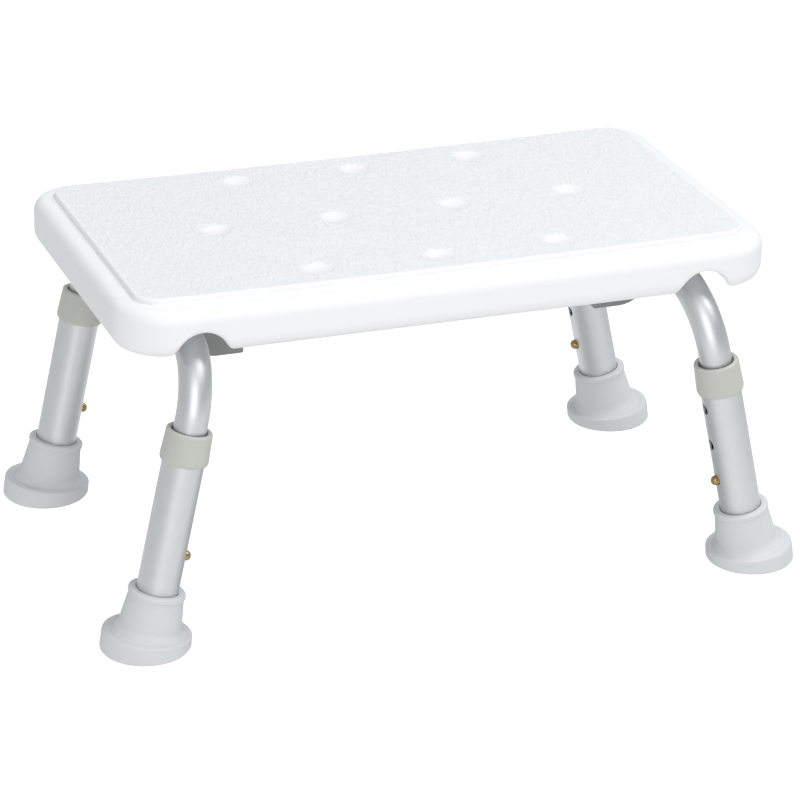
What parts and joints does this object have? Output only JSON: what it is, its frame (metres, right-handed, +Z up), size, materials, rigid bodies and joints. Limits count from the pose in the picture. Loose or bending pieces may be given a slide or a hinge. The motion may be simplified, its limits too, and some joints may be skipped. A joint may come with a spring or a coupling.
{
  "type": "bath transfer bench",
  "caption": "Low bath transfer bench with a moulded seat on U-shaped tubes and telescopic legs locked by snap buttons, on rubber feet.",
  "frame": {"origin": "on the floor, under the middle of the seat", "axes": "+X along the length of the seat, +Y to the back, +Z up"},
  "size_m": [0.4486, 0.288, 0.215],
  "materials": {
    "seat_white": "white moulded plastic with a fine anti-slip grain on the raised panel",
    "tube_aluminium": "satin anodised aluminium tube",
    "collar_grey": "warm grey moulded plastic",
    "bracket_grey": "grey moulded plastic",
    "foot_rubber": "light grey rubber",
    "button_brass": "polished brass",
    "insert_brass": "plain brass",
    "screw_steel": "zinc plated",
    "spring_steel": "spring steel",
    "washer_steel": "zinc plated",
    "glide_plastic": "dark grey plastic"
  },
  "bodies": {
    "seat_frame": {"seat_shell": "seat_white", "seat_inserts": "insert_brass", "frame_tube_left": "tube_aluminium", "frame_tube_right": "tube_aluminium", "frame_bracket_left": "bracket_grey", "frame_bracket_right": "bracket_grey", "bracket_screws_left": "screw_steel", "bracket_screws_right": "screw_steel", "tube_glide_fl": "glide_plastic", "tube_glide_fr": "glide_plastic", "tube_glide_bl": "glide_plastic", "tube_glide_br": "glide_plastic", "button_spring_fl": "spring_steel", "button_spring_fr": "spring_steel", "button_spring_bl": "spring_steel", "button_spring_br": "spring_steel"},
    "leg_fl": {"leg_tube_fl": "tube_aluminium", "leg_collar_fl": "collar_grey", "foot_fl": "foot_rubber", "foot_washer_fl": "washer_steel"},
    "button_fl": {"snap_button_fl": "button_brass"},
    "leg_fr": {"leg_tube_fr": "tube_aluminium", "leg_collar_fr": "collar_grey", "foot_fr": "foot_rubber", "foot_washer_fr": "washer_steel"},
    "button_fr": {"snap_button_fr": "button_brass"},
    "leg_bl": {"leg_tube_bl": "tube_aluminium", "leg_collar_bl": "collar_grey", "foot_bl": "foot_rubber", "foot_washer_bl": "washer_steel"},
    "button_bl": {"snap_button_bl": "button_brass"},
    "leg_br": {"leg_tube_br": "tube_aluminium", "leg_collar_br": "collar_grey", "foot_br": "foot_rubber", "foot_washer_br": "washer_steel"},
    "button_br": {"snap_button_br": "button_brass"}
  },
  "joints": [
    {"name": "leg_fl_height", "type": "slide", "parent": "seat_frame", "child": "leg_fl", "axis": [-0.2079, 0, -0.9781], "range_m": [0, 0.05], "deforming": ["snap_button_fl"]},
    {"name": "leg_fr_height", "type": "slide", "parent": "seat_frame", "child": "leg_fr", "axis": [0.2079, 0, -0.9781], "range_m": [0, 0.05], "deforming": ["snap_button_fr"]},
    {"name": "leg_bl_height", "type": "slide", "parent": "seat_frame", "child": "leg_bl", "axis": [-0.2079, 0, -0.9781], "range_m": [0, 0.05], "deforming": ["snap_button_bl"]},
    {"name": "leg_br_height", "type": "slide", "parent": "seat_frame", "child": "leg_br", "axis": [0.2079, 0, -0.9781], "range_m": [0, 0.05], "deforming": ["snap_button_br"]},
    {"name": "button_fl_press", "type": "slide", "parent": "seat_frame", "child": "button_fl", "axis": [-0.9781, 0, 0.2079], "range_m": [0, 0.0052], "stiffness_N_per_m": 1800, "springref_m": -0.002, "deforming": ["button_spring_fl"]},
    {"name": "button_fr_press", "type": "slide", "parent": "seat_frame", "child": "button_fr", "axis": [0.9781, 0, 0.2079], "range_m": [0, 0.0052], "stiffness_N_per_m": 1800, "springref_m": -0.002, "deforming": ["button_spring_fr"]},
    {"name": "button_bl_press", "type": "slide", "parent": "seat_frame", "child": "button_bl", "axis": [-0.9781, 0, 0.2079], "range_m": [0, 0.0052], "stiffness_N_per_m": 1800, "springref_m": -0.002, "deforming": ["button_spring_bl"]},
    {"name": "button_br_press", "type": "slide", "parent": "seat_frame", "child": "button_br", "axis": [0.9781, 0, 0.2079], "range_m": [0, 0.0052], "stiffness_N_per_m": 1800, "springref_m": -0.002, "deforming": ["button_spring_br"]}
  ]
}
